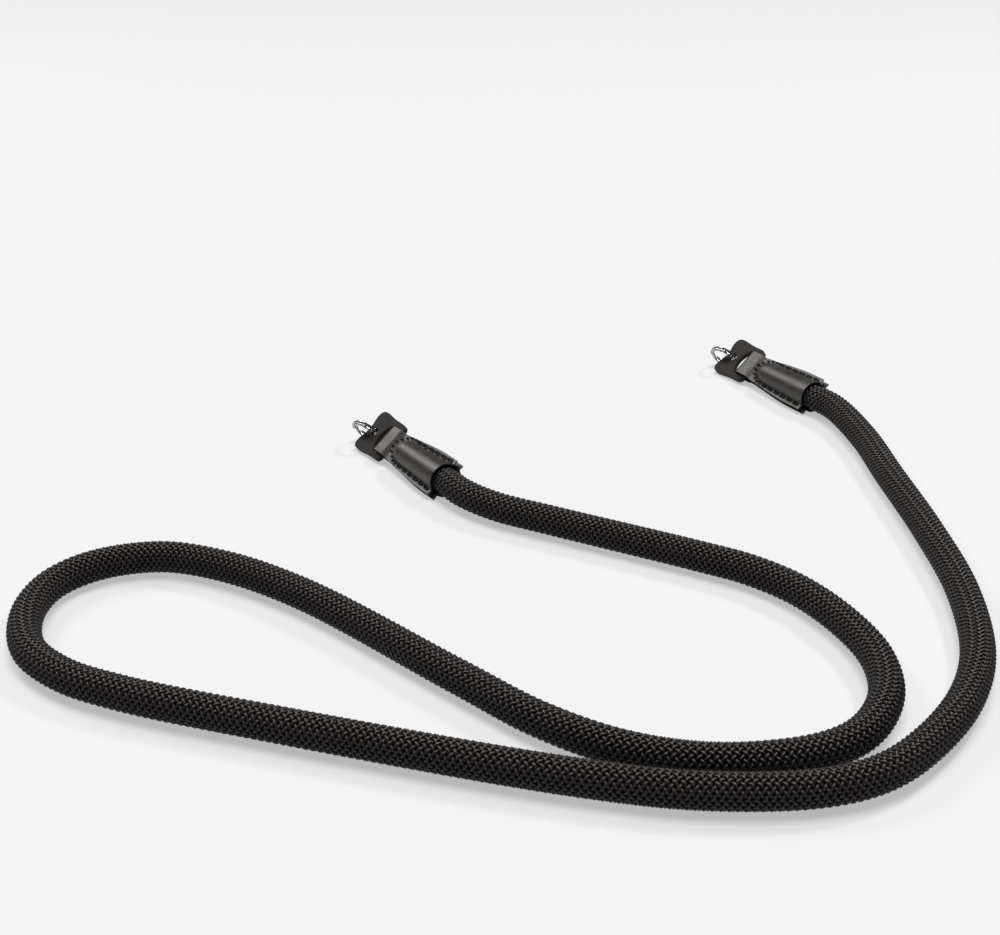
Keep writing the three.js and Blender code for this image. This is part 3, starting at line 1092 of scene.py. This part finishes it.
def ring_mesh(values, name, place):
    """Two flat coils of wire, joined by a short jog, swept from one section."""
    bm = bmesh.new()
    radius = (values.diameter - values.wire_width) / 2
    rise = values.wire_height + COIL_GAP
    bmesh.ops.create_circle(bm, cap_ends=True, segments=12, radius=1.0)
    for vert in bm.verts:
        round_x = math.copysign(abs(vert.co.x) ** WIRE_ROUNDING, vert.co.x) * values.wire_width / 2
        round_z = math.copysign(abs(vert.co.y) ** WIRE_ROUNDING, vert.co.y) * values.wire_height / 2
        vert.co = (radius + round_x, 0, round_z - rise / 2)
    start = -math.pi * values.turns
    turn = Matrix.Rotation(start, 3, "Z")
    bmesh.ops.rotate(bm, cent=(0, 0, 0), matrix=turn, verts=bm.verts)
    face = bm.faces[:][0]
    step = 2 * math.pi * values.turns / RING_STEPS
    lift = 0.0
    for count in range(1, RING_STEPS + 1):
        grown = bmesh.ops.extrude_face_region(bm, geom=[face])
        face = next(item for item in grown["geom"] if isinstance(item, bmesh.types.BMFace))
        turns = values.turns * (count / RING_STEPS - 0.5)
        level = float(smooth(-RING_JOG / 2, RING_JOG / 2, turns)) * rise
        bmesh.ops.rotate(bm, cent=(0, 0, 0), matrix=Matrix.Rotation(step, 3, "Z"), verts=face.verts)
        bmesh.ops.translate(bm, vec=(0, 0, level - lift), verts=face.verts)
        lift = level
    bmesh.ops.recalc_face_normals(bm, faces=bm.faces)
    return mesh_from(bm, name, place)


class STRAP_OT_rings(Operator):
    """Put the split rings through the pads' keyholes"""

    bl_idname = "strap.rings"
    bl_label = "Split rings"

    def execute(self, context):
        values = settings("ring")
        steel = steel_material()
        for end in ENDS:
            name = "steel_ring_" + end["side"]
            swing = Matrix.Translation((pad_start() + KEYHOLE_CENTRE, 0, 0))
            swing = swing @ Matrix.Rotation(math.radians(RING_SWING), 4, "Z")
            stand = Matrix.Translation(((values.diameter - values.wire_width) / 2, 0, 0))
            stand = stand @ Matrix.Rotation(math.pi / 2, 4, "X")
            piece = add_object(name, ring_mesh(values, name, end_matrix(end) @ swing @ stand), [steel])
            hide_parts("split_ring_" + end["side"])
        return {"FINISHED"}


# Stage: places and sizes in metres, the camera's sensor in millimetres

CAMERA_PLACE = (-0.0371, -0.5374, 0.25)
SENSOR_WIDTH = 36.0
VIEW_GAMMA = 0.9
TABLE_HALF = 4.0
TABLE_PATCH = 0.985
LIGHT_AIM = (-0.03, -0.1, 0.0)
# Each softbox: its name, the setting of its power, its side and its place
SOFTBOXES = [
    ("Overhead softbox", "over", 1.2, (-0.03, 0.1, 2.2)),
    ("Key softbox", "key", 0.4, (1.3, 1.25, 1.8)),
    ("Kicker softbox", "kick", 0.9, (-1.48, 1.2, 1.58)),
]


def softbox(name, power, side, place):
    """A square lamp that faces the strap."""
    lamp = bpy.data.lights.new(name, "AREA")
    lamp.shape = "SQUARE"
    lamp.size = side
    lamp.energy = power
    box = bpy.data.objects.new(name, lamp)
    box.location = place
    box.rotation_euler = (Vector(LIGHT_AIM) - Vector(place)).to_track_quat("-Z", "Y").to_euler()
    bpy.context.scene.collection.objects.link(box)


class STRAP_OT_stage(Operator):
    """Set up the table, the light and the camera"""

    bl_idname = "strap.stage"
    bl_label = "Stage"

    def execute(self, context):
        values = settings("stage")
        scene = context.scene
        scene.view_settings.view_transform = "Standard"
        scene.view_settings.gamma = VIEW_GAMMA
        lens = bpy.data.cameras.new("Camera")
        lens.lens = values.lens
        lens.sensor_width = SENSOR_WIDTH
        camera = bpy.data.objects.new("Camera", lens)
        camera.location = CAMERA_PLACE
        camera.rotation_euler = Euler((math.pi / 2 - values.pitch, 0, 0))
        scene.collection.objects.link(camera)
        scene.camera = camera
        self.add_floor(values)
        self.add_sky(scene, values)
        for name, power, side, place in SOFTBOXES:
            softbox(name, getattr(values, power), side, place)
        return {"FINISHED"}

    @staticmethod
    def add_floor(values):
        """A wide plain table that glows a little."""
        bm = bmesh.new()
        bmesh.ops.create_grid(bm, x_segments=2, y_segments=2, size=TABLE_HALF)
        dull = tuple(TABLE_PATCH * part for part in values.floor)
        material, _, shader, _ = toned_material("Table", 1.5, dull, values.floor)
        shader.inputs["Roughness"].default_value = 0.6
        # The glow is painted light: the table is no lamp, and its glow lifts the shadows on it.
        shader.inputs["Emission Color"].default_value = WHITE
        shader.inputs["Emission Strength"].default_value = values.glow
        mesh = mesh_from(bm, "table")
        mesh.materials.append(material)
        table = bpy.data.objects.new("table", mesh)
        bpy.context.scene.collection.objects.link(table)

    @staticmethod
    def add_sky(scene, values):
        """Weak even light all round, with a paler backdrop where the camera looks past the table."""
        world = bpy.data.worlds.new("Studio")
        world.use_nodes = True
        tree = world.node_tree
        back = tree.nodes["Background"]
        back.inputs["Color"].default_value = WHITE
        rays = node(tree, "ShaderNodeLightPath", (-600, 0))
        seen = rays.outputs["Is Camera Ray"]
        link_range(tree, seen, back.inputs["Strength"], values.sky, values.backdrop, (-300, 0))
        scene.world = world


class STRAP_PT_panel(Panel):
    """Every size and step of the strap"""

    bl_label = "Neck strap"
    bl_idname = "STRAP_PT_panel"
    bl_space_type = "VIEW_3D"
    bl_region_type = "UI"
    bl_category = "Strap"

    def draw(self, context):
        for name in GROUPS:
            box = self.layout.box()
            box.label(text=name.capitalize())
            group = settings(name)
            for key in group.__annotations__:
                box.prop(group, key)
        for step in STEPS:
            self.layout.operator(step.bl_idname)


GROUPS = {
    "rope": RopeSettings,
    "strip": StripSettings,
    "pad": PadSettings,
    "ring": RingSettings,
    "stage": StageSettings,
}
STEPS = [STRAP_OT_stage, STRAP_OT_rope, STRAP_OT_strips, STRAP_OT_stitches, STRAP_OT_pads, STRAP_OT_rings]


def register():
    for kind in (*GROUPS.values(), *STEPS, STRAP_PT_panel):
        bpy.utils.register_class(kind)
    for name, kind in GROUPS.items():
        setattr(bpy.types.Scene, "strap_" + name, PointerProperty(type=kind))


def unregister():
    for name in GROUPS:
        delattr(bpy.types.Scene, "strap_" + name)
    for kind in reversed((*GROUPS.values(), *STEPS, STRAP_PT_panel)):
        bpy.utils.unregister_class(kind)


def main():
    register()
    bpy.ops.strap.stage()
    bpy.ops.strap.rope()
    bpy.ops.strap.strips()
    bpy.ops.strap.stitches()
    bpy.ops.strap.pads()
    bpy.ops.strap.rings()


if __name__ == "__main__":
    main()
